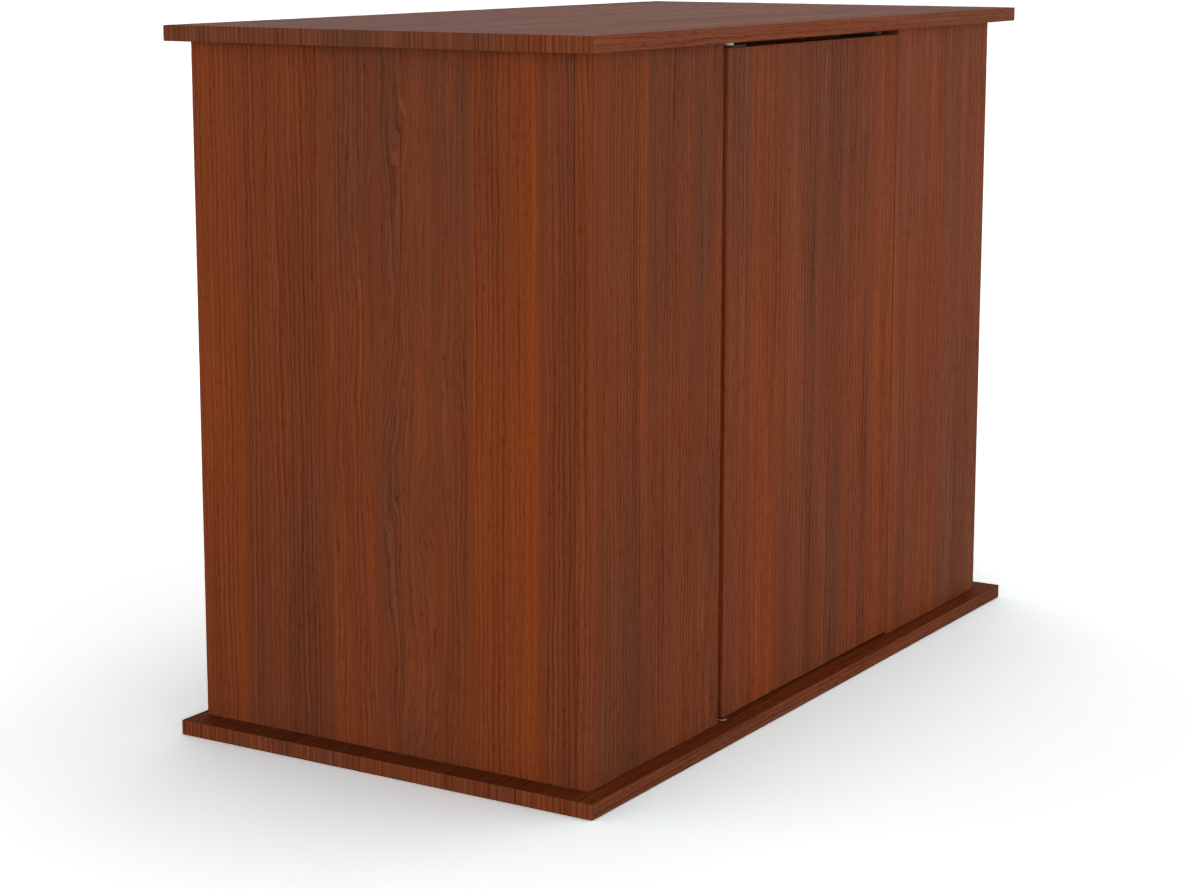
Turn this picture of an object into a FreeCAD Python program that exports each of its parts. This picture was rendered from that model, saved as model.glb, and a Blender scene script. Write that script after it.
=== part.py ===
import FreeCAD, Part
import math
import os

# Aquarium stand of foil-wrapped boards: base, top, two sides, two fixed front boards, two back boards,
# and one inset door on pivots that a touch latch holds shut. Cam fittings and dowels join the boards.
# Millimetres. The door faces -Y, +X is to the right as seen from the front, +Z is up.
# The origin is the middle of the footprint, on the floor.

V = FreeCAD.Vector

# Boards
board = 16.0                # thickness of every board, the door's too
body_width = 914.0          # across the outer faces of the sides
body_depth = 472.0          # from the front boards' face to the sides' back edges
side_height = 704.0         # sides, front boards and back boards, between base and top
side_overhang = 30.0        # how far base and top stand out past each side
front_overhang = 22.0
back_overhang = 10.0
front_board_width = 254.0
back_board_width = 238.0    # back boards stand between the sides and leave the middle open
wrap_radius = 0.8           # rounding of a foil-wrapped edge
seam_gap = 0.4              # hairline left between a side's front edge and the front board
blind_cover = 4.5           # board left under a blind hole
hole_spare = 0.5            # a hole is this much deeper than what it holds
fit_clearance = 0.05        # hardware in its hole, all round

# Door
door_hinge_gap = 9.5        # to the left front board
door_free_gap = 1.0         # to the right front board
lift_clearance = 0.3        # play between the upper leaf and its bushing

# Pivots
pivot_from_edge = 7.0       # pivot axis from the door's hinge edge
pivot_from_face = 4.0       # pivot axis behind the door's front face
pin_radius = 2.5
pin_in_bushing = 9.0        # length of pin that runs in the bushing
pin_chamfer = 0.6
running_clearance = 0.05    # pin in bushing, all round
leaf_thickness = 2.5
leaf_width = 12.0
leaf_reach = 36.0           # from the pivot axis to the leaf's far end
leaf_corner = 3.0
leaf_screw_first = 16.0     # first screw from the pivot axis
leaf_screw_last = 8.0       # second screw from the leaf's far end
leaf_screw_length = 20.0
eye_radius = 6.0            # round end of the leaf about the pin
bushing_radius = 4.0        # sleeve in the board
flange_radius = 5.2
lower_flange = 1.0          # thickness of the flange that the door's weight rests on
upper_flange = 4.0

# Countersunk screws of the leaves and the strike plate, and pan-head screws of the latch
csk_head_radius = 3.2
csk_head_height = 1.4
csk_shank_radius = 1.5
pan_head_radius = 3.4
pan_head_height = 2.2
pan_crown_radius = 2.0      # flat middle of the head
pan_rim = 0.9               # height of the head's upright edge
pan_shank_radius = 1.6
screw_point = 3.0           # length of a screw's pointed end

# Touch latch, under the top behind the door's free corner
latch_from_edge = 10.0      # plunger axis from the door's free edge
latch_drop = 8.0            # plunger axis below the top
housing_width = 17.0
housing_length = 40.0
housing_floor = 1.5         # wall below the bore
housing_edge = 1.2          # rounding of the housing's long edges
ear_width = 13.0
ear_length = 24.0
ear_thickness = 2.5
ear_corner = 3.0
ear_slot_length = 8.0
guide_length = 9.0          # narrow front part of the housing's bore
chamber_clearance = 0.4
cap_thickness = 2.5
cap_spigot = 3.0
plunger_radius = 4.5
plunger_length = 22.0
collar_radius = 5.6         # keeps the plunger from falling out
collar_length = 2.0
sliding_clearance = 0.08    # plunger in its guide, all round
plunger_press = 2.4         # how far a push on the door moves the plunger
plunger_standoff = 0.3      # plunger tip to strike plate with the door shut
press_margin = 0.4          # left between strike plate and housing at full press
magnet_radius = 3.4
magnet_length = 2.0
coil_radius = 4.2           # to the middle of the spring's wire
wire_radius = 0.45
spring_turns = 6

# Strike plate on the door's back
strike_width = 16.0
strike_height = 26.0
strike_thickness = 1.0
strike_from_top = 1.2       # plate's upper edge below the door's top
strike_corner = 2.0
strike_screw_rise = 6.0     # screw above the plate's lower edge

# Cam fittings and dowels
cam_radius = 7.5
cam_past_axis = 4.5         # cam's inner end beyond the bolt's axis
cam_setback = 24.0          # cam axis from the face that its board's end is pulled to
cam_slot_length = 8.0
cam_slot_width = 1.6
cam_slot_depth = 2.5
bolt_radius = 2.5
bolt_head_radius = 3.5
bolt_head = 3.0
pocket_clearance = 0.4      # bolt in the cam's pocket
dowel_radius = 4.0
dowel_in_end = 20.0
dowel_chamfer = 1.0
side_cam_inset = 70.0       # from a side's front and back edges
edge_cam_inset = 150.0      # from base and top, where front and back boards meet a side

# Places worked out from the sizes above
plate_width = body_width + 2 * side_overhang
plate_depth = front_overhang + body_depth + back_overhang
plate_front = -plate_depth / 2
body_front = plate_front + front_overhang
body_back = body_front + body_depth
panel_back = body_front + board
side_front = panel_back + seam_gap
body_right = body_width / 2
inner_right = body_right - board
side_mid = body_right - board / 2
base_top = board
top_under = base_top + side_height
opening_right = body_right - front_board_width
back_front = body_back - board
back_mid = body_back - board / 2
back_edge = inner_right - back_board_width
blind_hole = board - blind_cover
in_blind_hole = blind_hole - hole_spare
door_left = -opening_right + door_hinge_gap
door_right = opening_right - door_free_gap
door_bottom = base_top + lower_flange + leaf_thickness
door_top = top_under - upper_flange - leaf_thickness - lift_clearance
door_mid = body_front + board / 2
pivot_x = door_left + pivot_from_edge
pivot_y = body_front + pivot_from_face
latch_x = door_right - latch_from_edge
latch_z = top_under - latch_drop
strike_face = panel_back + strike_thickness
strike_top = door_top - strike_from_top
plunger_tip = strike_face + plunger_standoff
plunger_back = plunger_tip + plunger_length
housing_front = plunger_tip + plunger_press + press_margin
housing_back = housing_front + housing_length
chamber_radius = collar_radius + chamber_clearance
housing_bottom = latch_z - chamber_radius - housing_floor
cap_front = housing_back - cap_spigot

right = V(1, 0, 0)
front = V(0, -1, 0)
back = V(0, 1, 0)
down = V(0, 0, -1)
up = V(0, 0, 1)
origin = V(0, 0, 0)

parts = {}                  # finished shape of each node
holes = {}                  # what is cut out of each board
groups = {"cam_locks": [], "cam_bolts": [], "wood_dowels": [], "pivot_leaf_screws": [], "latch_screws": []}


def box(x0, x1, y0, y1, z0, z1):
    return Part.makeBox(x1 - x0, y1 - y0, z1 - z0, V(x0, y0, z0))


def bore(start, along, radius, depth):
    return Part.makeCylinder(radius, depth, start, along)


def edges_along(shape, axis):
    return [edge for edge in shape.Edges if edge.tangentAt(edge.FirstParameter).cross(axis).Length < 0.01]


def turned(corners):
    # solid of revolution about Z, from (radius, height) corners
    points = [V(radius, 0, height) for radius, height in corners]
    return Part.Face(Part.makePolygon(points + points[:1])).revolve(origin, up, 360)


def placed(shape, place):
    copy = shape.copy()
    copy.Placement = place
    return copy


def pointing(shape, start, along):
    return placed(shape, FreeCAD.Placement(start, FreeCAD.Rotation(up, along)))


# Boards: base and top are rounded on every edge, the upright boards on their long edges

def plate(name, z):
    shape = box(-plate_width / 2, plate_width / 2, plate_front, -plate_front, z, z + board)
    parts[name] = shape.makeFillet(wrap_radius, shape.Edges)
    holes[name] = []


def upright(name, sign, x_in, x_out, y0, y1):
    x0, x1 = sorted((sign * x_in, sign * x_out))
    shape = box(x0, x1, y0, y1, base_top, top_under)
    parts[name] = shape.makeFillet(wrap_radius, edges_along(shape, up))
    holes[name] = []


def boards():
    plate("base_panel", 0)
    plate("top_panel", top_under)
    for side, sign in (("left", -1), ("right", 1)):
        upright(side + "_side_panel", sign, inner_right, body_right, side_front, body_back)
        upright(side + "_front_panel", sign, opening_right, body_right, body_front, panel_back)
        upright(side + "_back_panel", sign, back_edge, inner_right, back_front, body_back)


def door():
    shape = box(door_left, door_right, body_front, panel_back, door_bottom, door_top)
    parts["door_panel"] = shape.makeFillet(wrap_radius, shape.Edges)
    holes["door_panel"] = []


# Cam fittings and dowels. In their own frame Z = 0 is the face that a board's end is joined to,
# +Z runs into the end along its middle, and +X points to the face that the cam is set in.

def fitting_place(point, into, face):
    return FreeCAD.Placement(point, FreeCAD.Rotation(face, into.cross(face), into, "ZXY"))


def cam_bolt():
    low = cam_setback - bolt_head / 2
    high = low + bolt_head
    return turned([(0, -in_blind_hole), (bolt_radius, -in_blind_hole), (bolt_radius, low),
                   (bolt_head_radius, low), (bolt_head_radius, high), (0, high)])


def cam_seat(radius):
    return bore(V(-cam_past_axis, 0, cam_setback), right, radius, cam_past_axis + board / 2)


def cam_lock():
    # drum with a pocket for the bolt's head and a cross slot in its face
    face = board / 2
    low = cam_setback - bolt_head / 2 - pocket_clearance
    shank = bore(origin, up, bolt_radius + pocket_clearance, cam_setback)
    head = bore(V(0, 0, low), up, bolt_head_radius + pocket_clearance, bolt_head + 2 * pocket_clearance)
    reach, wide = cam_slot_length / 2, cam_slot_width / 2
    slot = box(face - cam_slot_depth, face, -wide, wide, cam_setback - reach, cam_setback + reach)
    cross = box(face - cam_slot_depth, face, -reach, reach, cam_setback - wide, cam_setback + wide)
    return cam_seat(cam_radius).cut([shank, head, slot, cross])


def dowel():
    low, high = -in_blind_hole, dowel_in_end
    small = dowel_radius - dowel_chamfer
    return turned([(0, low), (small, low), (dowel_radius, low + dowel_chamfer),
                   (dowel_radius, high - dowel_chamfer), (small, high), (0, high)])


def cam_joint(end_board, face_board, point, into, face):
    # a cam in the first board's end pulls it against the second by a bolt screwed into that one's face
    place = fitting_place(point, into, face)
    groups["cam_locks"].append(placed(cam_lock(), place))
    groups["cam_bolts"].append(placed(cam_bolt(), place))
    bolt_hole = bore(origin, up, bolt_head_radius + pocket_clearance, cam_setback)
    holes[end_board] += [placed(cam_seat(cam_radius + fit_clearance), place), placed(bolt_hole, place)]
    holes[face_board].append(placed(bore(origin, down, bolt_radius + fit_clearance, blind_hole), place))


def dowel_joint(end_board, face_board, point, into, face):
    place = fitting_place(point, into, face)
    groups["wood_dowels"].append(placed(dowel(), place))
    radius = dowel_radius + fit_clearance
    holes[end_board].append(placed(bore(origin, up, radius, dowel_in_end + hole_spare), place))
    holes[face_board].append(placed(bore(origin, down, radius, blind_hole), place))


def joints_to_plates(side, sign):
    # the upright boards stand on the base and carry the top
    inward = right * -sign
    side_x = sign * side_mid
    front_x = sign * (opening_right + inner_right) / 2
    back_x = sign * (back_edge + inner_right) / 2
    side_middle = (side_front + body_back) / 2
    for name, z, into in (("base_panel", base_top, up), ("top_panel", top_under, down)):
        for y in (side_front + side_cam_inset, body_back - side_cam_inset):
            cam_joint(side + "_side_panel", name, V(side_x, y, z), into, inward)
        dowel_joint(side + "_side_panel", name, V(side_x, side_middle, z), into, inward)
        dowel_joint(side + "_front_panel", name, V(front_x, door_mid, z), into, back)
        dowel_joint(side + "_back_panel", name, V(back_x, back_mid, z), into, front)


def joints_to_side(side, sign):
    # a side's front edge meets the front board's back, and a back board's edge meets the side
    inward = right * -sign
    for z in (base_top + edge_cam_inset, top_under - edge_cam_inset):
        front_seam = V(sign * side_mid, panel_back, z)
        back_seam = V(sign * inner_right, back_mid, z)
        cam_joint(side + "_side_panel", side + "_front_panel", front_seam, back, inward)
        cam_joint(side + "_back_panel", side + "_side_panel", back_seam, inward, front)


# Screws point along +Z from the face that their head lies in or on

def csk_screw(length):
    return turned([(0, 0), (csk_head_radius, 0), (csk_shank_radius, csk_head_height),
                   (csk_shank_radius, length - screw_point), (0, length)])


def csk_hole(length):
    wide = csk_shank_radius + fit_clearance
    deep = length + hole_spare
    mouth = csk_head_radius + fit_clearance
    return turned([(0, 0), (mouth, 0), (wide, csk_head_height), (wide, deep), (0, deep)])


def pan_screw(length):
    return turned([(0, -pan_head_height), (pan_crown_radius, -pan_head_height), (pan_head_radius, -pan_rim),
                   (pan_head_radius, 0), (pan_shank_radius, 0), (pan_shank_radius, length - screw_point),
                   (0, length)])


# Pivots: a leaf on each end of the door holds a pin, which turns in a bushing in the base or the top.
# The direction away points from the door's end to that board, and seat is the height of the board's face.

def pivot_leaf(door_end, away):
    low = min(door_end, door_end + away.z * leaf_thickness)
    near = door_mid - leaf_width / 2
    strip = box(pivot_x, pivot_x + leaf_reach, near, near + leaf_width, low, low + leaf_thickness)
    strip = strip.makeFillet(leaf_corner, edges_along(strip, up))
    eye = bore(V(pivot_x, pivot_y, low), up, eye_radius, leaf_thickness)
    pin_hole = bore(V(pivot_x, pivot_y, low), up, pin_radius + fit_clearance, leaf_thickness)
    return strip.fuse(eye).removeSplitter().cut(pin_hole)


def pivot_pin(length):
    tip = pin_radius - pin_chamfer
    return turned([(0, 0), (pin_radius, 0), (pin_radius, length - pin_chamfer), (tip, length), (0, length)])


def pivot_bushing(flange):
    inside = pin_radius + running_clearance
    return turned([(inside, -flange), (flange_radius, -flange), (flange_radius, 0), (bushing_radius, 0),
                   (bushing_radius, in_blind_hole), (inside, in_blind_hole)])


def pivot(where, board_name, door_end, seat, away, flange):
    leaf = pivot_leaf(door_end, away)
    for x in (pivot_x + leaf_screw_first, pivot_x + leaf_reach - leaf_screw_last):
        head = V(x, door_mid, door_end + away.z * leaf_thickness)
        hole = pointing(csk_hole(leaf_screw_length), head, -away)
        leaf = leaf.cut(hole)
        holes["door_panel"].append(hole)
        groups["pivot_leaf_screws"].append(pointing(csk_screw(leaf_screw_length), head, -away))
    parts[where + "_pivot_leaf"] = leaf
    pin_length = abs(seat - away.z * flange - door_end) + pin_in_bushing
    parts[where + "_pivot_pin"] = pointing(pivot_pin(pin_length), V(pivot_x, pivot_y, door_end), away)
    mouth = V(pivot_x, pivot_y, seat)
    parts[where + "_pivot_bushing"] = pointing(pivot_bushing(flange), mouth, away)
    holes[board_name].append(bore(mouth, away, bushing_radius + fit_clearance, blind_hole))


# Touch latch: a sprung plunger with a magnet in its tip, in a housing screwed under the top

def latch_axis(y):
    return V(latch_x, y, latch_z)


def latch_block(y0, y1):
    half = housing_width / 2
    block = box(latch_x - half, latch_x + half, y0, y1, housing_bottom, top_under)
    return block.makeFillet(housing_edge, edges_along(block, back))


def ear_screw_places():
    reach = (housing_width + ear_width) / 2
    return [V(latch_x + sign * reach, housing_front + ear_length / 2, top_under) for sign in (-1, 1)]


def ear_slot(place):
    # slot along Y for setting the latch in or out
    wide = pan_shank_radius + fit_clearance
    run = ear_slot_length / 2 - wide
    low = top_under - ear_thickness
    slot = box(place.x - wide, place.x + wide, place.y - run, place.y + run, low, top_under)
    ends = [bore(V(place.x, place.y + offset, low), up, wide, ear_thickness) for offset in (-run, run)]
    return slot.fuse(ends)


def latch_housing():
    reach = housing_width / 2 + ear_width
    ears = box(latch_x - reach, latch_x + reach, housing_front, housing_front + ear_length,
               top_under - ear_thickness, top_under)
    ears = ears.makeFillet(ear_corner, edges_along(ears, up))
    guide = bore(latch_axis(housing_front), back, plunger_radius + sliding_clearance, guide_length)
    chamber_front = housing_front + guide_length
    chamber = bore(latch_axis(chamber_front), back, chamber_radius, housing_back - chamber_front)
    slots = [ear_slot(place) for place in ear_screw_places()]
    solid = latch_block(housing_front, housing_back).fuse(ears).removeSplitter()
    parts["latch_housing"] = solid.cut([guide, chamber] + slots)


def latch_rear_cap():
    spigot = bore(latch_axis(cap_front), back, chamber_radius - fit_clearance, cap_spigot)
    cover = latch_block(housing_back, housing_back + cap_thickness)
    parts["latch_rear_cap"] = cover.fuse(spigot).removeSplitter()


def latch_plunger():
    pocket = magnet_radius + fit_clearance
    collar = plunger_length - collar_length
    stem = turned([(0, magnet_length), (pocket, magnet_length), (pocket, 0), (plunger_radius, 0),
                   (plunger_radius, collar), (collar_radius, collar), (collar_radius, plunger_length),
                   (0, plunger_length)])
    parts["latch_plunger"] = pointing(stem, latch_axis(plunger_tip), back)
    parts["latch_magnet"] = bore(latch_axis(plunger_tip), back, magnet_radius, magnet_length)


def coil_point(turn, pitch):
    angle = 2 * math.pi * turn
    return V(coil_radius * math.cos(angle), coil_radius * math.sin(angle), pitch * turn)


def latch_spring():
    # coil of quarter-turn arcs between the plunger's collar and the rear cap
    pitch = (cap_front - plunger_back - 2 * wire_radius) / spring_turns
    arcs = []
    for quarter in range(round(4 * spring_turns)):
        points = [coil_point((quarter + step) / 4, pitch) for step in (0, 0.5, 1)]
        arcs.append(Part.Arc(*points).toShape())
    heading = arcs[0].tangentAt(arcs[0].FirstParameter)
    section = Part.Wire(Part.makeCircle(wire_radius, coil_point(0, pitch), heading))
    coil = Part.Wire(arcs).makePipeShell([section], True, False)
    parts["latch_spring"] = pointing(coil, latch_axis(plunger_back + wire_radius), back)
    print("spring: least gap between turns", round(pitch - 2 * wire_radius, 2), "mm")


def latch_screws():
    length = ear_thickness + in_blind_hole
    for place in ear_screw_places():
        groups["latch_screws"].append(pointing(pan_screw(length), place + down * ear_thickness, up))
        holes["top_panel"].append(bore(place, up, pan_shank_radius + fit_clearance, blind_hole))


def strike():
    half = strike_width / 2
    low = strike_top - strike_height
    steel = box(latch_x - half, latch_x + half, panel_back, strike_face, low, strike_top)
    steel = steel.makeFillet(strike_corner, edges_along(steel, back))
    head = V(latch_x, strike_face, low + strike_screw_rise)
    length = strike_thickness + in_blind_hole
    hole = pointing(csk_hole(length), head, front)
    parts["strike_plate"] = steel.cut(hole)
    parts["strike_screw"] = pointing(csk_screw(length), head, front)
    holes["door_panel"].append(hole)


def build():
    boards()
    door()
    for side, sign in (("left", -1), ("right", 1)):
        joints_to_plates(side, sign)
        joints_to_side(side, sign)
    pivot("lower", "base_panel", door_bottom, base_top, down, lower_flange)
    pivot("upper", "top_panel", door_top, top_under, up, upper_flange)
    latch_housing()
    latch_rear_cap()
    latch_plunger()
    latch_spring()
    latch_screws()
    strike()
    for name, tools in holes.items():
        parts[name] = parts[name].cut(tools)
    for name, solids in groups.items():
        parts[name] = Part.makeCompound(solids)


build()
os.makedirs("parts", exist_ok=True)
for name, shape in parts.items():
    shape.exportStep("parts/" + name + ".step")
    print(name, len(shape.Solids), "solids", round(shape.Volume / 1000, 2), "cm3", shape.isValid())
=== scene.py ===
import math

import bmesh
import bpy
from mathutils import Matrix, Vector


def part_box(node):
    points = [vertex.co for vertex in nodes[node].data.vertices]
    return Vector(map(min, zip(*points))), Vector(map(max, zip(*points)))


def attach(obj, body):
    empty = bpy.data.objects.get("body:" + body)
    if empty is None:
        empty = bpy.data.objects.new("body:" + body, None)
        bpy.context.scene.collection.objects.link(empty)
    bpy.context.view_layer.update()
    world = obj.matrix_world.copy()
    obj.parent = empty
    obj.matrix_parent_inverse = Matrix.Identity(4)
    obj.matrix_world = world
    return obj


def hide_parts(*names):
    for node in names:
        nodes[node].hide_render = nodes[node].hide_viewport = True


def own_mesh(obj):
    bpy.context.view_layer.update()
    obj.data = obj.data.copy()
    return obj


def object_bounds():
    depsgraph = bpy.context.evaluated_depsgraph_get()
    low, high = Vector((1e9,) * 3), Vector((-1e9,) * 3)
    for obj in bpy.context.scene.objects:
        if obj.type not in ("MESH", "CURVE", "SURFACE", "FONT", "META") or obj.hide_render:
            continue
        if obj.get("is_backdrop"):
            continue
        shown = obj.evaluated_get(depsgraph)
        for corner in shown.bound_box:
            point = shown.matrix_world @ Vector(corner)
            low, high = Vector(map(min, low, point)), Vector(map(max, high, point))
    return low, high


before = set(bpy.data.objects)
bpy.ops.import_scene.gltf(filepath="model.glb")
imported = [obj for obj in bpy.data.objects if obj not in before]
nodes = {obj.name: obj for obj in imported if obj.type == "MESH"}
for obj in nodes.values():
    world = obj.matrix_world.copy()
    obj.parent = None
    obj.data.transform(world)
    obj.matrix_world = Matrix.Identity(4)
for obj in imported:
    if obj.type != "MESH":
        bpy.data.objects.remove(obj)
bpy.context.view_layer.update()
mm = 0.001
print("frame loaded:", len(nodes), "pieces")


def colour(hexText):
    # sRGB hex to the linear values that the shader sockets want
    parts = [int(hexText[i:i + 2], 16) / 255 for i in (1, 3, 5)]
    return [p / 12.92 if p <= 0.04045 else ((p + 0.055) / 1.055) ** 2.4 for p in parts] + [1.0]


def addNode(tree, kind, links=None, **settings):
    node = tree.nodes.new(kind)
    for name, value in settings.items():
        setattr(node, name, value)
    for socket, value in (links or {}).items():
        if isinstance(value, bpy.types.NodeSocket):
            tree.links.new(value, node.inputs[socket])
        else:
            node.inputs[socket].default_value = value
    return node


def newMaterial(name):
    material = bpy.data.materials.new(name)
    material.use_nodes = True
    material.node_tree.nodes.clear()
    return material, material.node_tree


def setRamp(ramp, stops):
    # stops are (place 0 to 1, RGBA) from left to right
    elements = ramp.color_ramp.elements
    while len(elements) < len(stops):
        elements.new(1.0)
    for element, (place, value) in zip(elements, stops):
        element.position = place
        element.color = value


def dress(material, *names):
    for name in names:
        mesh = nodes[name].data
        mesh.materials.clear()
        mesh.materials.append(material)


def seenRays(tree):
    # 1 for the rays that show a surface: straight to the camera, in a gloss or through glass
    path = addNode(tree, "ShaderNodeLightPath")
    seen = path.outputs["Is Camera Ray"]
    for ray in ("Is Glossy Ray", "Is Transmission Ray"):
        seen = addNode(tree, "ShaderNodeMath", {0: seen, 1: path.outputs[ray]},
                       operation="MAXIMUM").outputs[0]
    return seen


# camera, set at the photograph's own viewpoint
camera = {
    "place": (-2.4736, -1.4776, 0.8343),
    "turn": 58.107,     # degrees from +Y towards +X
    "tilt": 9.787,      # degrees down
    "lens": 77.58,
    "sensor": 36.0,
    "shift": (0.0144, -0.0613),
}

bpy.ops.object.select_all(action="DESELECT")
bpy.ops.object.camera_add(location=camera["place"])
cameraObject = bpy.context.object
cameraObject.rotation_euler = (math.radians(90 - camera["tilt"]), 0, -math.radians(camera["turn"]))
cameraObject.data.lens = camera["lens"]
cameraObject.data.sensor_width = camera["sensor"]
cameraObject.data.shift_x, cameraObject.data.shift_y = camera["shift"]
bpy.context.scene.camera = cameraObject
bpy.context.scene.view_settings.view_transform = "Standard"
print("camera set")

# studio: white walls all round, a dimmer dome over them, one large soft lamp overhead, a white paper floor
# with a painted shadow round the stand
studio = {
    "walls": 6.0,
    "wallsFade": 12.0,      # how fast they darken upwards
    "dome": 1.9,
    "domeFade": 2.0,
    "lampPlace": (0.6, -0.3, 4.5),
    "lampSize": 2.6,
    "lampPower": 27.0,
    "floorSize": 60.0,
    "floorPaper": "#f4f4f4",
    "floorSeen": (2.38, 2.43, 2.45),  # paper brightness to the camera, so that it runs out to white
    "farWhite": (0.9, 2.6, 1.3),  # it rises between these metres from the middle, by this many times
    "paintedShadowReach": 0.45,   # metres, how far the painted shadow at the foot spreads over the paper
    "paintedShadowDepth": (0.32, 0.06, 0.01),  # painted shadow, least in blue, against the red that the boards throw down
    "paintedShadowSamples": 8,
}

world = bpy.data.worlds.new("whiteDome")
bpy.context.scene.world = world
world.use_nodes = True
world.node_tree.nodes.clear()
tree = world.node_tree
way = addNode(tree, "ShaderNodeTexCoord")
up = addNode(tree, "ShaderNodeSeparateXYZ", {0: way.outputs["Generated"]})
down = addNode(tree, "ShaderNodeMath", {0: 1.0, 1: up.outputs[2]}, operation="SUBTRACT", use_clamp=True)
light = 0.0
for part in ("dome", "walls"):
    fade = addNode(tree, "ShaderNodeMath", {0: down.outputs[0], 1: studio[part + "Fade"]},
                   operation="POWER")
    light = addNode(tree, "ShaderNodeMath", {0: fade.outputs[0], 1: studio[part], 2: light},
                    operation="MULTIPLY_ADD").outputs[0]
level = addNode(tree, "ShaderNodeMapRange", {"Value": seenRays(tree), "To Min": light, "To Max": 1.0})
sky = addNode(tree, "ShaderNodeBackground", {"Color": (1, 1, 1, 1), "Strength": level.outputs[0]})
addNode(tree, "ShaderNodeOutputWorld", {"Surface": sky.outputs[0]})

bpy.ops.object.select_all(action="DESELECT")
bpy.ops.object.light_add(type="AREA", location=studio["lampPlace"])
lamp = bpy.context.object
lamp.data.shape = "DISK"
lamp.data.size = studio["lampSize"]
lamp.data.energy = studio["lampPower"]
lamp.rotation_euler = (-lamp.location).to_track_quat("-Z", "Y").to_euler()

bpy.ops.object.select_all(action="DESELECT")
bpy.ops.mesh.primitive_plane_add(size=studio["floorSize"])
floor = bpy.context.object
floor.name = "floorPaper"
paper, tree = newMaterial("whitePaperSweep")  # matt coated paper: even, no gloss
# painted shadow: for the camera, an ambient occlusion node darkens the paper near the stand, on top of the
# shade that the light casts
near = addNode(tree, "ShaderNodeAmbientOcclusion", {"Distance": studio["paintedShadowReach"]},
               samples=studio["paintedShadowSamples"])
paintedFloorShade = addNode(tree, "ShaderNodeMix", {0: near.outputs["AO"], 4: [1 - d for d in studio["paintedShadowDepth"]],
                                          5: (1.0, 1.0, 1.0)}, data_type="VECTOR")
coords = addNode(tree, "ShaderNodeTexCoord")
away = addNode(tree, "ShaderNodeVectorMath", {0: coords.outputs["Object"]}, operation="LENGTH")
farFrom, farTo, farRise = studio["farWhite"]
far = addNode(tree, "ShaderNodeMapRange", {"Value": away.outputs["Value"], "From Min": farFrom,
                                           "From Max": farTo, "To Min": 1.0, "To Max": farRise},
              interpolation_type="SMOOTHSTEP")
paperSeen = addNode(tree, "ShaderNodeVectorMath", {0: studio["floorSeen"], 1: far.outputs[0]},
                    operation="MULTIPLY")
bright = addNode(tree, "ShaderNodeVectorMath", {0: paperSeen.outputs[0], 1: paintedFloorShade.outputs[1]},
                 operation="MULTIPLY")
shade = addNode(tree, "ShaderNodeMix", {0: seenRays(tree), 6: colour(studio["floorPaper"]),
                                        7: bright.outputs[0]}, data_type="RGBA", clamp_result=False)
matt = addNode(tree, "ShaderNodeBsdfDiffuse", {"Color": shade.outputs[2]})
addNode(tree, "ShaderNodeOutputMaterial", {"Surface": matt.outputs[0]})
floor.data.materials.append(paper)
floor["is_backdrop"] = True
print("studio set")

# cherry foil: printed decor paper under a satin lacquer, pressed on board and wrapped over its edges.
# Veneer leaves lie side by side, each drifting from brown to orange, with dark lines along the grain.
cherry = {
    "brownLeaf": "#463026",
    "orangeLeaf": "#913c0b",
    "leafSoft": 8.0,        # mm over which one leaf fades into the next
    "mostLeaves": 10,       # a leaf's number is kept as a share of this
    "leafShift": 9.0,       # moves the patterns on from leaf to leaf
    "crown": 0.07,          # a leaf is this much more orange halfway up
    "endTone": 0.08,        # the band on a board's ends is this much browner
    "broadAcross": 44.0,    # mm, slow change of tone inside a leaf
    "broadRough": 0.56,
    "broadDepth": 0.60,
    "ringGap": 6.2,         # mm from one growth line to the next
    "ringWander": (4.5, 1.3),  # how far the lines stray, and how fine the straying is
    "ringSharp": 3.0,
    "ringDepth": 0.36,
    "betweenTimes": 2.3,    # the fainter lines between them lie this many times closer
    "betweenDepth": 0.28,
    "veinRange": (0.38, 0.62),  # growth lines fade from brown wood to orange
    "veinFade": (1.2, 0.6),
    "streakAcross": 2.4,    # mm, fine streaks between the growth lines
    "streakDepth": 0.52,
    "streakTone": 0.20,     # some streaks are more orange
    "poreAcross": 1.1,      # mm, coarser than real pores so that they show
    "poreRange": (0.52, 0.72),
    "poreDepth": 0.27,
    "inkPower": (1.0, 2.3, 3.0),  # dark lines and pores take more off green and blue than off red
    "bendAcross": 70.0,     # mm, wander of the grain
    "bendBy": 10.0,         # mm
    "rippleAcross": 15.0,   # mm, small waves along each line
    "rippleBy": 4.0,        # mm
    "figureAcross": 42.0,   # mm, flames of a flat cut leaf
    "figureBy": 50.0,       # mm
    "figureTone": 0.55,     # dark and light patches of the flames
    "figureCalm": 0.35,     # growth lines are this much fainter in a flame
    "rippleStretch": 0.4,   # how wide a pattern is, as a share of its length
    "figureStretch": 0.22,
    "bendStretch": 0.14,
    "poreStretch": 0.09,
    "leafStretch": 0.045,
    "lineStretch": 0.012,
    "dullRange": (1.15, 0.75),  # the print's brightness from glossiest to dullest
    "roughness": (0.44, 0.58),
    "ior": 1.48,
    "specular": 0.004,      # the lacquer hardly shines
    "emboss": 0.05,         # mm, depth of the pores
    "embossShare": 0.6,
}
waveBand = math.tau / 20    # a wave texture of scale 1 has a band this wide
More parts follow.
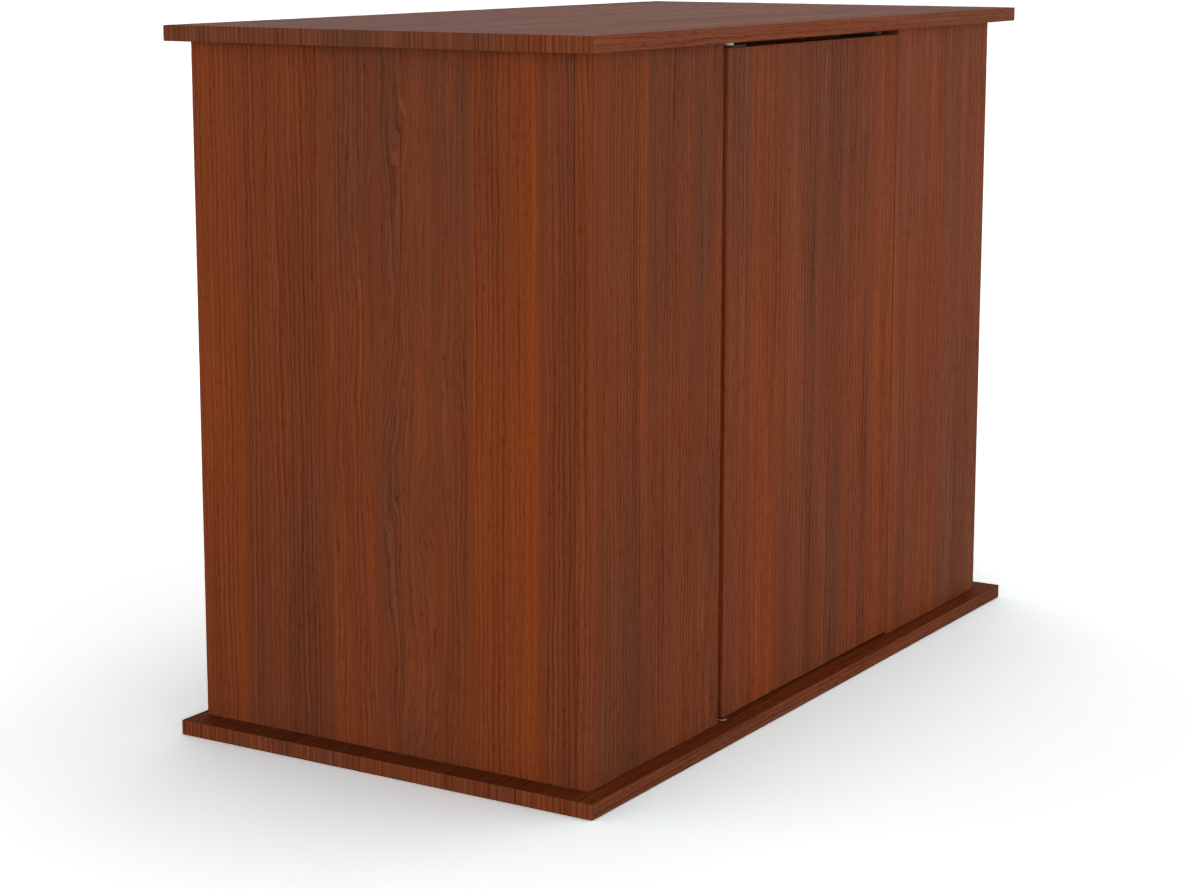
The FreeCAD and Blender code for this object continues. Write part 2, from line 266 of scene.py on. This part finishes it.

# boards: grain, across and thickness axes, then the leaves from the low edge of the across axis as
# (mm from that edge, tone at the top or right, tone at the foot or left, how wild the figure is),
# how strong the lines are, how much browner the long edges are as painted shade (more orange below 0,
# as painted red light bounced between the boards), and the gloss where it differs
boards = {
    "left_side_panel": {"axes": "ZYX", "seed": 1.3, "lines": 0.72, "leaves": [
        (0, 0.33, 0.42, 0.1), (36, 0.45, 0.52, 0.1), (118, 0.27, 0.43, 0.5), (156, 0.30, 0.36, 1.0),
        (228, 0.34, 0.42, 0.6), (290, 0.44, 0.33, 0.2), (371, 0.44, 0.34, 0.1), (396, 0.46, 0.45, 0.1)]},
    "right_side_panel": {"axes": "ZYX", "seed": 5.1, "leaves": [
        (0, 0.46, 0.37, 0.1), (88, 0.56, 0.41, 0.3), (170, 0.38, 0.48, 1.0), (265, 0.33, 0.53, 0.4),
        (338, 0.51, 0.41, 0.1)]},
    "left_front_panel": {"axes": "ZXY", "seed": 2.2, "lines": 0.9, "leaves": [
        (0, 0.45, 0.41, 0.1), (18, 0.36, 0.28, 0.1), (111, 0.28, 0.40, 0.3), (204, 0.28, 0.34, 0.9)]},
    "door_panel": {"axes": "ZXY", "seed": 3.7, "specular": 0.008, "paintedEdgeShade": -0.3, "leaves": [
        (0, 0.27, 0.36, 0.1), (48, 0.42, 0.54, 0.1), (123, 0.32, 0.36, 0.2), (210, 0.39, 0.36, 0.5),
        (275, 0.39, 0.43, 0.2), (340, 0.44, 0.50, 0.1)]},
    "right_front_panel": {"axes": "ZXY", "seed": 4.4, "specular": 0.012, "leaves": [
        (0, 0.42, 0.45, 0.1), (60, 0.50, 0.49, 0.1), (140, 0.37, 0.29, 0.3), (200, 0.43, 0.32, 0.1)]},
    "left_back_panel": {"axes": "ZXY", "seed": 6.6, "leaves": [
        (0, 0.39, 0.47, 0.1), (82, 0.52, 0.37, 0.7), (160, 0.37, 0.49, 0.2)]},
    "right_back_panel": {"axes": "ZXY", "seed": 7.9, "leaves": [
        (0, 0.49, 0.38, 0.2), (70, 0.34, 0.51, 0.9), (168, 0.50, 0.41, 0.1)]},
    "top_panel": {"axes": "XYZ", "seed": 8.3, "specular": 0.0115, "leaves": [
        (0, 0.41, 0.50, 0.1), (90, 0.39, 0.38, 0.5), (215, 0.49, 0.40, 0.9), (340, 0.41, 0.39, 0.2),
        (430, 0.30, 0.36, 0.1)]},
    "base_panel": {"axes": "XYZ", "seed": 9.5, "paintedEdgeShade": 0.22, "leaves": [
        (0, 0.46, 0.50, 0.1), (96, 0.56, 0.46, 0.4), (230, 0.47, 0.43, 0.8), (360, 0.54, 0.38, 0.1),
        (430, 0.50, 0.56, 0.1)]},
}


def cherryFoil(board):
    look = boards[board]
    grain, across, thick = look["axes"]
    low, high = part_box(board)
    start, end = low["XYZ".index(across)], high["XYZ".index(across)]
    foot, head = low["XYZ".index(grain)], high["XYZ".index(grain)]
    material, tree = newMaterial("cherryFoil_" + board)
    coords = addNode(tree, "ShaderNodeTexCoord")
    where = addNode(tree, "ShaderNodeSeparateXYZ", {0: coords.outputs["Object"]})
    facing = addNode(tree, "ShaderNodeSeparateXYZ", {0: coords.outputs["Normal"]})
    # the print turns round the long edges, so there the thickness carries it on
    edge = addNode(tree, "ShaderNodeMath", {0: facing.outputs[across]}, operation="ABSOLUTE")
    over = addNode(tree, "ShaderNodeMath", {0: edge.outputs[0], 1: where.outputs[thick],
                                            2: where.outputs[across]}, operation="MULTIPLY_ADD")
    # leaf by leaf: red holds the tone at the head, green at the foot, blue the figure, alpha the number
    stops = []
    soft = cherry["leafSoft"] * mm / 2 / (end - start)
    leaves = look["leaves"]
    for i, (at, atHead, atFoot, wild) in enumerate(leaves):
        left = at * mm / (end - start)
        right = leaves[i + 1][0] * mm / (end - start) if i + 1 < len(leaves) else 1.0 + soft
        value = (atHead, atFoot, wild, i / cherry["mostLeaves"])
        stops += [(left + soft if i else 0.0, value), (min(right - soft, 1.0), value)]
    place = addNode(tree, "ShaderNodeMapRange", {"Value": over.outputs[0], "From Min": start,
                                                 "From Max": end})
    leaf = addNode(tree, "ShaderNodeValToRGB", {0: place.outputs[0]})
    setRamp(leaf, stops)
    leafParts = addNode(tree, "ShaderNodeSeparateColor", {0: leaf.outputs[0]})
    wildness = leafParts.outputs[2]
    number = addNode(tree, "ShaderNodeMath", {0: leaf.outputs[1], 1: cherry["leafShift"], 2: look["seed"]},
                     operation="MULTIPLY_ADD")
    spot = addNode(tree, "ShaderNodeCombineXYZ", {0: over.outputs[0], 1: number.outputs[0],
                                                  2: where.outputs[grain]})
    # small waves, wander of the grain, and the flames of flat cut leaves
    waves = {}
    for kind, detail in (("bend", 1.0), ("figure", 2.0), ("ripple", 2.0)):
        stretched = addNode(tree, "ShaderNodeVectorMath", {0: spot.outputs[0],
                                                           1: (1, 1, cherry[kind + "Stretch"])},
                            operation="MULTIPLY")
        waves[kind] = addNode(tree, "ShaderNodeTexNoise", {"Vector": stretched.outputs[0], "Detail": detail,
                                                           "Scale": 1 / (cherry[kind + "Across"] * mm)})
    flame = waves["figure"].outputs[0]
    flameBy = addNode(tree, "ShaderNodeMath", {0: wildness, 1: cherry["figureBy"] * mm},
                      operation="MULTIPLY")
    rippled = addNode(tree, "ShaderNodeMath", {0: waves["ripple"].outputs[0], 1: cherry["rippleBy"] * mm,
                                               2: over.outputs[0]}, operation="MULTIPLY_ADD")
    bent = addNode(tree, "ShaderNodeMath", {0: waves["bend"].outputs[0], 1: cherry["bendBy"] * mm,
                                            2: rippled.outputs[0]}, operation="MULTIPLY_ADD")
    flamed = addNode(tree, "ShaderNodeMath", {0: flame, 1: flameBy.outputs[0], 2: bent.outputs[0]},
                     operation="MULTIPLY_ADD")
    line = addNode(tree, "ShaderNodeCombineXYZ", {0: flamed.outputs[0], 1: number.outputs[0],
                                                  2: where.outputs[grain]})
    space = {}
    for kind in ("poreStretch", "leafStretch", "lineStretch"):
        space[kind] = addNode(tree, "ShaderNodeVectorMath", {0: line.outputs[0], 1: (1, 1, cherry[kind])},
                              operation="MULTIPLY").outputs[0]
    broad = addNode(tree, "ShaderNodeTexNoise", {"Vector": space["leafStretch"], "Detail": 4.0,
                                                 "Roughness": cherry["broadRough"],
                                                 "Scale": 1 / (cherry["broadAcross"] * mm)})
    calm = addNode(tree, "ShaderNodeMath", {0: wildness, 1: -cherry["figureCalm"], 2: 1.0},
                   operation="MULTIPLY_ADD")
    brownest, orangest = cherry["veinRange"]
    strong, faint = cherry["veinFade"]
    vein = addNode(tree, "ShaderNodeMapRange", {"Value": broad.outputs[0], "From Min": brownest,
                                                "From Max": orangest, "To Min": strong, "To Max": faint})
    force = addNode(tree, "ShaderNodeMath", {0: vein.outputs[0], 1: calm.outputs[0]}, operation="MULTIPLY")
    lines = []
    stray, strayFine = cherry["ringWander"]
    for gap in (cherry["ringGap"], cherry["ringGap"] / cherry["betweenTimes"]):
        ring = addNode(tree, "ShaderNodeTexWave", {"Vector": space["leafStretch"], "Distortion": stray,
                                                   "Detail": 2.0, "Detail Scale": strayFine,
                                                   "Scale": waveBand / (gap * mm)},
                       wave_type="BANDS", bands_direction="X", wave_profile="SAW")
        sharp = addNode(tree, "ShaderNodeMath", {0: ring.outputs[1], 1: cherry["ringSharp"]},
                        operation="POWER")
        lines.append(addNode(tree, "ShaderNodeMath", {0: sharp.outputs[0], 1: force.outputs[0]},
                             operation="MULTIPLY").outputs[0])
    streak = addNode(tree, "ShaderNodeTexNoise", {"Vector": space["lineStretch"], "Detail": 2.0,
                                                  "Scale": 1 / (cherry["streakAcross"] * mm)})
    pore = addNode(tree, "ShaderNodeTexNoise", {"Vector": space["poreStretch"], "Detail": 1.0,
                                                "Scale": 1 / (cherry["poreAcross"] * mm)})
    poreFrom, poreTo = cherry["poreRange"]
    poreDark = addNode(tree, "ShaderNodeMapRange", {"Value": pore.outputs[0], "From Min": poreFrom,
                                                    "From Max": poreTo})
    # the tone drifts from the head of the leaf to its foot, with a crown between, and differs on the ends
    # and, by painted shade, on the long edges
    drift = addNode(tree, "ShaderNodeMapRange", {"Value": where.outputs[grain], "From Min": foot,
                                                 "From Max": head}, interpolation_type="SMOOTHSTEP")
    tone = addNode(tree, "ShaderNodeMix", {0: drift.outputs[0], 2: leafParts.outputs[1],
                                           3: leafParts.outputs[0]}, data_type="FLOAT")
    halfway = addNode(tree, "ShaderNodeMath", {0: drift.outputs[0], 1: 0.5}, operation="PINGPONG")
    crowned = addNode(tree, "ShaderNodeMath", {0: halfway.outputs[0], 1: 2 * cherry["crown"],
                                               2: tone.outputs[0]}, operation="MULTIPLY_ADD")
    ends = addNode(tree, "ShaderNodeMath", {0: facing.outputs[grain]}, operation="ABSOLUTE")
    ended = addNode(tree, "ShaderNodeMath", {0: ends.outputs[0], 1: -cherry["endTone"],
                                             2: crowned.outputs[0]}, operation="MULTIPLY_ADD")
    # painted shade on the long edges: browner where they are lit less, or more orange below 0 as painted red
    # light bounced between the boards
    toned = addNode(tree, "ShaderNodeMath", {0: edge.outputs[0], 1: -look.get("paintedEdgeShade", 0.0),
                                             2: ended.outputs[0]}, operation="MULTIPLY_ADD")
    # slow changes, streaks and flames move the tone on from there
    patchBy = addNode(tree, "ShaderNodeMath", {0: wildness, 1: cherry["figureTone"]}, operation="MULTIPLY")
    for pattern, by in ((broad.outputs[0], cherry["broadDepth"]), (streak.outputs[0], cherry["streakTone"]),
                        (flame, patchBy.outputs[0])):
        swing = addNode(tree, "ShaderNodeMath", {0: pattern, 1: 0.5}, operation="SUBTRACT")
        toned = addNode(tree, "ShaderNodeMath", {0: swing.outputs[0], 1: by, 2: toned.outputs[0]},
                        operation="MULTIPLY_ADD")
    toned.use_clamp = True
    leafColour = addNode(tree, "ShaderNodeMix", {0: toned.outputs[0], 6: colour(cherry["brownLeaf"]),
                                                 7: colour(cherry["orangeLeaf"])}, data_type="RGBA")
    # streaks, growth lines and pores darken the print
    depths = (cherry["ringDepth"], cherry["betweenDepth"], cherry["poreDepth"])
    lift = 1 - cherry["streakDepth"] / 2 + sum(depths) / 4  # keeps the mean near 1
    pored = addNode(tree, "ShaderNodeMath", {0: streak.outputs[0], 1: cherry["streakDepth"], 2: lift},
                    operation="MULTIPLY_ADD")
    for pattern, depth in zip(lines + [poreDark.outputs[0]], depths):
        pored = addNode(tree, "ShaderNodeMath", {0: pattern, 1: -depth, 2: pored.outputs[0]},
                        operation="MULTIPLY_ADD")
    strength = look.get("lines", 1.0)
    inked = addNode(tree, "ShaderNodeMath", {0: pored.outputs[0], 1: strength, 2: 1 - strength},
                    operation="MULTIPLY_ADD")
    ink = {}
    for channel, power in enumerate(cherry["inkPower"]):
        ink[channel] = addNode(tree, "ShaderNodeMath", {0: inked.outputs[0], 1: power},
                               operation="POWER").outputs[0]
    inkColour = addNode(tree, "ShaderNodeCombineColor", ink)
    shade = addNode(tree, "ShaderNodeMix", {0: 1.0, 6: leafColour.outputs[2], 7: inkColour.outputs[0]},
                    data_type="RGBA", blend_type="MULTIPLY")
    # the lacquer lies a little duller in the dark lines, and dips there
    pale, dark = cherry["dullRange"]
    smooth, rough = cherry["roughness"]
    dull = addNode(tree, "ShaderNodeMapRange", {"Value": pored.outputs[0], "From Min": pale, "From Max": dark,
                                                "To Min": smooth, "To Max": rough})
    dip = addNode(tree, "ShaderNodeBump", {"Height": pored.outputs[0], "Strength": cherry["embossShare"],
                                           "Distance": cherry["emboss"] * mm})
    gloss = look.get("specular", cherry["specular"])
    foil = addNode(tree, "ShaderNodeBsdfPrincipled", {"Base Color": shade.outputs[2],
                                                      "Roughness": dull.outputs[0], "IOR": cherry["ior"],
                                                      "Specular IOR Level": gloss, "Normal": dip.outputs[0]})
    addNode(tree, "ShaderNodeOutputMaterial", {"Surface": foil.outputs[0]})
    return material


for board in boards:
    dress(cherryFoil(board), board)
print("cherry foil on", len(boards), "boards")

# small fittings: each finish is a base colour broken by a fine pattern that also moves its gloss and bump.
# Grain and bump are in mm, and stretch draws the pattern out where it is under 1
fittings = {
    # moulded nylon: waxy, nearly white, softly glossy
    "mouldedNylon": {"on": ["upper_pivot_bushing", "lower_pivot_bushing"], "colours": ("#cfc5bb", "#ddd5cc"),
                     "metal": 0.0, "roughness": (0.38, 0.5), "grain": 0.8, "stretch": (1, 1, 1),
                     "bump": 0.01, "ior": 1.53},
    # zinc plating under a black passivate, a dull black film that hides the metal; its brown tint is painted
    # red light that the boards throw into the gaps
    "blackZincPaintedBounce": {"on": ["upper_pivot_leaf", "lower_pivot_leaf", "upper_pivot_pin", "lower_pivot_pin",
                              "pivot_leaf_screws"], "colours": ("#38211a", "#4a2c23"), "metal": 0.0,
                       "roughness": (0.42, 0.6), "grain": 0.5, "stretch": (0.08, 1, 1), "bump": 0.008,
                       "ior": 1.5, "specular": 0.05},
    # bright zinc plating: pale, faintly blue and yellow, with drawn lines
    "brightZincSteel": {"on": ["strike_plate", "strike_screw", "latch_screws", "cam_bolts", "latch_spring"],
                        "colours": ("#a9adb2", "#cfcfc8"), "metal": 1.0, "roughness": (0.24, 0.42),
                        "grain": 0.4, "stretch": (1, 1, 0.1), "bump": 0.006, "ior": 1.5},
    # die-cast zinc: duller and mottled by the die
    "castZinc": {"on": ["cam_locks"], "colours": ("#7b7f84", "#a2a6aa"), "metal": 1.0,
                 "roughness": (0.4, 0.62), "grain": 0.9, "stretch": (1, 1, 1), "bump": 0.03, "ior": 1.5},
    # moulded ABS, dark brown: fine spark-eroded matt
    "brownABS": {"on": ["latch_housing", "latch_rear_cap"], "colours": ("#241812", "#33231b"), "metal": 0.0,
                 "roughness": (0.48, 0.62), "grain": 0.35, "stretch": (1, 1, 1), "bump": 0.02, "ior": 1.53,
                 "specular": 0.2},
    # acetal: smooth and slippery, grey, coloured darker and warmer here as painted shade and red board light
    # in the latch gap
    "greyAcetalPaintedShade": {"on": ["latch_plunger"], "colours": ("#6f635d", "#83766f"), "metal": 0.0,
                   "roughness": (0.3, 0.4), "grain": 0.6, "stretch": (1, 1, 1), "bump": 0.006, "ior": 1.48},
    # sintered ferrite, ground flat: charcoal with a gritty face
    "groundFerrite": {"on": ["latch_magnet"], "colours": ("#2b2b2d", "#464648"), "metal": 0.0,
                      "roughness": (0.45, 0.6), "grain": 0.25, "stretch": (1, 1, 1), "bump": 0.015,
                      "ior": 2.0},
    # turned beech: pale pink brown, with short dark flecks along the dowel
    "turnedBeech": {"on": ["wood_dowels"], "colours": ("#a97c52", "#cfa678"), "metal": 0.0,
                    "roughness": (0.6, 0.75), "grain": 0.5, "stretch": (1, 1, 0.08), "bump": 0.04,
                    "ior": 1.45},
}
mottle = {
    "cloudTimes": 8,        # the clouds are this many times wider than the grain
    "cloudShare": 0.4,
    "range": (0.35, 0.65),  # of the pattern, from one colour or gloss to the other
    "dipShare": 0.5,
    "specular": 0.5,        # where a finish has none of its own
}


def fittingFinish(name):
    look = fittings[name]
    material, tree = newMaterial(name)
    coords = addNode(tree, "ShaderNodeTexCoord")
    space = addNode(tree, "ShaderNodeVectorMath", {0: coords.outputs["Object"], 1: look["stretch"]},
                    operation="MULTIPLY")
    grit = addNode(tree, "ShaderNodeTexNoise", {"Vector": space.outputs[0], "Detail": 3.0,
                                                "Scale": 1 / (look["grain"] * mm)})
    cloudAcross = mottle["cloudTimes"] * look["grain"] * mm
    cloud = addNode(tree, "ShaderNodeTexNoise", {"Vector": coords.outputs["Object"], "Detail": 2.0,
                                                 "Scale": 1 / cloudAcross})
    both = addNode(tree, "ShaderNodeMix", {0: mottle["cloudShare"], 2: grit.outputs[0], 3: cloud.outputs[0]},
                   data_type="FLOAT")
    low, high = mottle["range"]
    spread = addNode(tree, "ShaderNodeMapRange", {"Value": both.outputs[0], "From Min": low,
                                                  "From Max": high})
    shade = addNode(tree, "ShaderNodeMix", {0: spread.outputs[0], 6: colour(look["colours"][0]),
                                            7: colour(look["colours"][1])}, data_type="RGBA")
    smooth, rough = look["roughness"]
    dull = addNode(tree, "ShaderNodeMapRange", {"Value": grit.outputs[0], "From Min": low, "From Max": high,
                                                "To Min": smooth, "To Max": rough})
    dip = addNode(tree, "ShaderNodeBump", {"Height": grit.outputs[0], "Strength": mottle["dipShare"],
                                           "Distance": look["bump"] * mm})
    gloss = look.get("specular", mottle["specular"])
    body = addNode(tree, "ShaderNodeBsdfPrincipled", {"Base Color": shade.outputs[2],
                                                      "Metallic": look["metal"], "IOR": look["ior"],
                                                      "Roughness": dull.outputs[0],
                                                      "Specular IOR Level": gloss, "Normal": dip.outputs[0]})
    addNode(tree, "ShaderNodeOutputMaterial", {"Surface": body.outputs[0]})
    return material


finishes = {name: fittingFinish(name) for name in fittings}
for name in fittings:
    dress(finishes[name], *fittings[name]["on"])
print("finishes on the fittings:", len(fittings))


# small pieces are modelled in millimetres from the origin, screws along +Z and the spring along +Y,
# then set in place
weld = 0.01         # mm, corners closer than this are one
smoothAngle = 32    # degrees, edges flatter than this are shaded smooth


def begin(primitive, **settings):
    bpy.ops.object.select_all(action="DESELECT")
    primitive(**settings)
    bpy.ops.object.mode_set(mode="EDIT")
    bpy.ops.mesh.select_mode(type="VERT")
    bpy.ops.mesh.select_all(action="SELECT")
    return bpy.context.object


def pick(kind, test):
    # in edit mode, selects what has all its corners where the test holds
    mesh = bpy.context.object.data
    bpy.ops.mesh.select_mode(type=kind)
    bpy.ops.mesh.select_all(action="DESELECT")
    cage = bmesh.from_edit_mesh(mesh)
    for item in {"VERT": cage.verts, "EDGE": cage.edges, "FACE": cage.faces}[kind]:
        if all(test(corner.co) for corner in ([item] if kind == "VERT" else item.verts)):
            item.select = True
    cage.select_flush_mode()
    bmesh.update_edit_mesh(mesh)


def cutOff(at, normal, keep):
    # cuts the whole piece by a plane and closes the cut
    bpy.ops.mesh.select_all(action="SELECT")
    bpy.ops.mesh.bisect(plane_co=at, plane_no=normal, use_fill=True, clear_inner=keep == "outer",
                        clear_outer=keep == "inner")


def finishModifier(piece, kind, **settings):
    bpy.ops.object.select_all(action="DESELECT")
    piece.select_set(True)
    bpy.context.view_layer.objects.active = piece
    modifier = piece.modifiers.new(kind.lower(), kind)
    for name, value in settings.items():
        setattr(modifier, name, value)
    bpy.ops.object.modifier_apply(modifier=modifier.name)


def joinPieces(parts):
    bpy.ops.object.select_all(action="DESELECT")
    for part in parts:
        part.select_set(True)
    bpy.context.view_layer.objects.active = parts[0]
    bpy.ops.object.join()
    return bpy.context.object


def setPiece(piece, name, look):
    piece.name = piece.data.name = name
    bpy.ops.object.shade_smooth_by_angle(angle=math.radians(smoothAngle))
    piece.data.materials.clear()
    piece.data.materials.append(finishes[look["finish"]])
    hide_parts(look["node"])
    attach(piece, look["body"])


# wood screws: a countersunk or pan head with a cross recess, and a coarse thread that runs to a point.
# Sizes are in mm. The rim is a radius and its steps, and the recess an arm's length, width and depth.
# A place is the side of the CAD screws' box on each axis (low, middle or high) and the turn about X
screws = {
    "pivotLeafScrews": {"node": "pivot_leaf_screws", "body": "door", "slot": "black_zinc_steel",
                        "finish": "blackZincPaintedBounce", "head": "countersunk", "headRadius": 3.2,
                        "headHeight": 1.4, "rim": (0.12, 2), "crest": 1.5, "root": 1.05, "pitch": 1.4,
                        "length": 20.0, "point": 3.0, "recess": (1.4, 0.8, 1.2),
                        "places": [(-1, 0, -1, 0), (1, 0, -1, 0), (-1, 0, 1, 180), (1, 0, 1, 180)]},
    "strikeScrew": {"node": "strike_screw", "body": "door", "slot": "zinc_plated_steel",
                    "finish": "brightZincSteel", "head": "countersunk", "headRadius": 3.2,
                    "headHeight": 1.4, "rim": (0.12, 2), "crest": 1.5, "root": 1.05, "pitch": 1.4,
                    "length": 12.0, "point": 3.0, "recess": (1.4, 0.8, 1.2), "places": [(0, 1, 0, 90)]},
    "latchScrews": {"node": "latch_screws", "body": "cabinet", "slot": "zinc_plated_steel",
                    "finish": "brightZincSteel", "head": "pan", "headRadius": 3.4, "headHeight": 2.2,
                    "rim": (1.3, 6), "crest": 1.6, "root": 1.15, "pitch": 1.5, "length": 15.7,
                    "point": 3.0, "recess": (1.45, 0.85, 1.7), "places": [(-1, 0, -1, 0), (1, 0, -1, 0)]},
}
screwShape = {
    "sunk": 0.4,            # mm, the shank starts this deep in the head
    "tooth": ((0, 0.4), (1, 0.3), (-1, 0.3)),  # root, way up and way down: shares of the rise and the pitch
    "early": 2,             # teeth before the start, cut off again
    "spare": 3,             # teeth more than the length needs, cut off again
    "turnSteps": 24,
    "tip": 0.1,             # the point narrows to this share
    "headSides": 48,
    "neck": 0.02,           # mm, a countersunk head ends this much wider than the root
    "cutterOut": 0.2,       # mm, the recess's cutter stands this far out of the head
    "taper": 0.45,          # and narrows to this share at its bottom
}


def screwShank(look):
    # a line of teeth wound once round the axis, each tooth meeting the next, then cut square and pointed
    start = look["headHeight"] - screwShape["sunk"]
    end = look["length"] - look["point"]
    pitch = look["pitch"]
    shank = begin(bpy.ops.mesh.primitive_plane_add, size=1.0)
    bpy.ops.mesh.merge(type="CENTER")
    bpy.ops.transform.translate(value=(look["root"], 0, start - screwShape["early"] * pitch))
    rise = look["crest"] - look["root"]
    for tooth in range(math.ceil((end - start) / pitch) + screwShape["spare"]):
        for out, along in screwShape["tooth"]:
            step = (out * rise, 0, along * pitch)
            bpy.ops.mesh.extrude_vertices_move(TRANSFORM_OT_translate={"value": step})
    bpy.ops.object.mode_set(mode="OBJECT")
    finishModifier(shank, "SCREW", axis="Z", angle=math.tau, screw_offset=pitch,
                   steps=screwShape["turnSteps"], render_steps=screwShape["turnSteps"])
    bpy.ops.object.mode_set(mode="EDIT")
    bpy.ops.mesh.select_all(action="SELECT")
    bpy.ops.mesh.remove_doubles(threshold=weld)
    cutOff((0, 0, start), (0, 0, 1), "outer")
    cutOff((0, 0, end), (0, 0, 1), "inner")
    pick("FACE", lambda at: at.z > end - weld)
    bpy.ops.mesh.extrude_region_move(TRANSFORM_OT_translate={"value": (0, 0, look["point"])})
    bpy.ops.transform.resize(value=(screwShape["tip"], screwShape["tip"], 1),
                             center_override=(0, 0, look["length"]))
    bpy.ops.mesh.select_all(action="SELECT")
    bpy.ops.mesh.normals_make_consistent(inside=False)
    bpy.ops.object.mode_set(mode="OBJECT")
    return shank


def screwHead(look):
    head = begin(bpy.ops.mesh.primitive_cylinder_add, vertices=screwShape["headSides"],
                 radius=look["headRadius"], depth=look["headHeight"])
    bpy.ops.transform.translate(value=(0, 0, look["headHeight"] / 2))
    if look["head"] == "countersunk":
        pick("VERT", lambda at: at.z > look["headHeight"] - weld)
        narrow = (look["root"] + screwShape["neck"]) / look["headRadius"]
        bpy.ops.transform.resize(value=(narrow, narrow, 1), center_override=(0, 0, look["headHeight"]))
    pick("EDGE", lambda at: at.z < weld)
    bpy.ops.mesh.bevel(offset=look["rim"][0], segments=look["rim"][1], affect="EDGES")
    bpy.ops.object.mode_set(mode="OBJECT")
    return head


def screwModel(look):
    model, shank = screwHead(look), screwShank(look)
    finishModifier(model, "BOOLEAN", object=shank, operation="UNION", solver="EXACT")
    bpy.data.objects.remove(shank)
    # cross recess: a square post with an arm drawn out of each side, narrowing inwards, is cut into the head
    arm, width, depth = look["recess"]
    out, half = screwShape["cutterOut"], width / 2
    cross = begin(bpy.ops.mesh.primitive_cube_add, size=1.0)
    bpy.ops.transform.resize(value=(width, width, depth + out), center_override=(0, 0, 0))
    bpy.ops.transform.translate(value=(0, 0, (depth - out) / 2))
    for x, y in ((1, 0), (-1, 0), (0, 1), (0, -1)):
        pick("FACE", lambda at: at.x * x + at.y * y > half - weld and abs(at.x * y + at.y * x) < half + weld)
        bpy.ops.mesh.extrude_region_move(TRANSFORM_OT_translate={"value": (x * arm, y * arm, 0)})
    pick("VERT", lambda at: at.z > 0)
    bpy.ops.transform.resize(value=(screwShape["taper"], screwShape["taper"], 1),
                             center_override=(0, 0, depth))
    bpy.ops.object.mode_set(mode="OBJECT")
    finishModifier(model, "BOOLEAN", object=cross, operation="DIFFERENCE", solver="EXACT")
    bpy.data.objects.remove(cross)
    return model


for name, look in screws.items():
    model = screwModel(look)
    low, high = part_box(look["node"])
    inset = look["headRadius"] * mm
    copies = []
    middle = (low + high) / 2
    for sideX, sideY, sideZ, turn in look["places"]:
        place = ((middle.x, high.x - inset, low.x + inset)[sideX], (middle.y, high.y, low.y)[sideY],
                 (middle.z, high.z, low.z)[sideZ])
        bpy.ops.object.select_all(action="DESELECT")
        model.select_set(True)
        bpy.context.view_layer.objects.active = model
        bpy.ops.object.duplicate()
        copies.append(bpy.context.object)
        bpy.ops.object.mode_set(mode="EDIT")
        bpy.ops.mesh.select_all(action="SELECT")
        bpy.ops.transform.rotate(value=-math.radians(turn), orient_axis="X", center_override=(0, 0, 0))
        bpy.ops.transform.resize(value=(mm, mm, mm), center_override=(0, 0, 0))
        bpy.ops.transform.translate(value=place)
        bpy.ops.object.mode_set(mode="OBJECT")
    bpy.data.objects.remove(model)
    setPiece(joinPieces(copies), name, look)
print("screws set:", len(screws), "kinds")

# latch spring: wire wound with a closed turn at each end, both ends ground flat, in mm
spring = {
    "node": "latch_spring",
    "body": "cabinet",
    "slot": "zinc_plated_steel",
    "finish": "brightZincSteel",
    "wire": 0.45,           # radius
    "coil": 4.2,            # radius to the wire's middle
    "closedTurns": 1,       # at each end
    "closedPitch": 0.95,
    "openTurns": 4,
    "ground": 0.3,          # taken off each end
    "sides": 12,
    "turnSteps": 40,
}

low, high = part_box(spring["node"])
middle = (low + high) / 2
springLong = (high.y - low.y) / mm
along = spring["wire"] - spring["ground"]  # the wire's middle starts this far inside the ground end
closed = (spring["closedTurns"], spring["closedPitch"])
openLong = springLong - 2 * along - 2 * closed[0] * closed[1]
coils = []
for turns, pitch in (closed, (spring["openTurns"], openLong / spring["openTurns"]), closed):
    coils.append(begin(bpy.ops.mesh.primitive_circle_add, vertices=spring["sides"], radius=spring["wire"]))
    bpy.ops.transform.translate(value=(spring["coil"], along, 0))
    bpy.ops.object.mode_set(mode="OBJECT")
    finishModifier(coils[-1], "SCREW", axis="Y", angle=math.tau, screw_offset=pitch, iterations=turns,
                   steps=spring["turnSteps"], render_steps=spring["turnSteps"])
    along += turns * pitch
springPiece = joinPieces(coils)
bpy.ops.object.mode_set(mode="EDIT")
bpy.ops.mesh.select_all(action="SELECT")
bpy.ops.mesh.remove_doubles(threshold=weld)
bpy.ops.mesh.fill_holes(sides=0)
cutOff((0, 0, 0), (0, 1, 0), "outer")
cutOff((0, springLong, 0), (0, 1, 0), "inner")
bpy.ops.mesh.select_all(action="SELECT")
bpy.ops.mesh.normals_make_consistent(inside=False)
bpy.ops.transform.resize(value=(mm, mm, mm), center_override=(0, 0, 0))
bpy.ops.transform.translate(value=(middle.x, low.y, middle.z))
bpy.ops.object.mode_set(mode="OBJECT")
setPiece(springPiece, "latchSpring", spring)
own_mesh(springPiece)
print("latch spring wound:", spring["openTurns"] + 2 * spring["closedTurns"], "turns")

low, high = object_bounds()
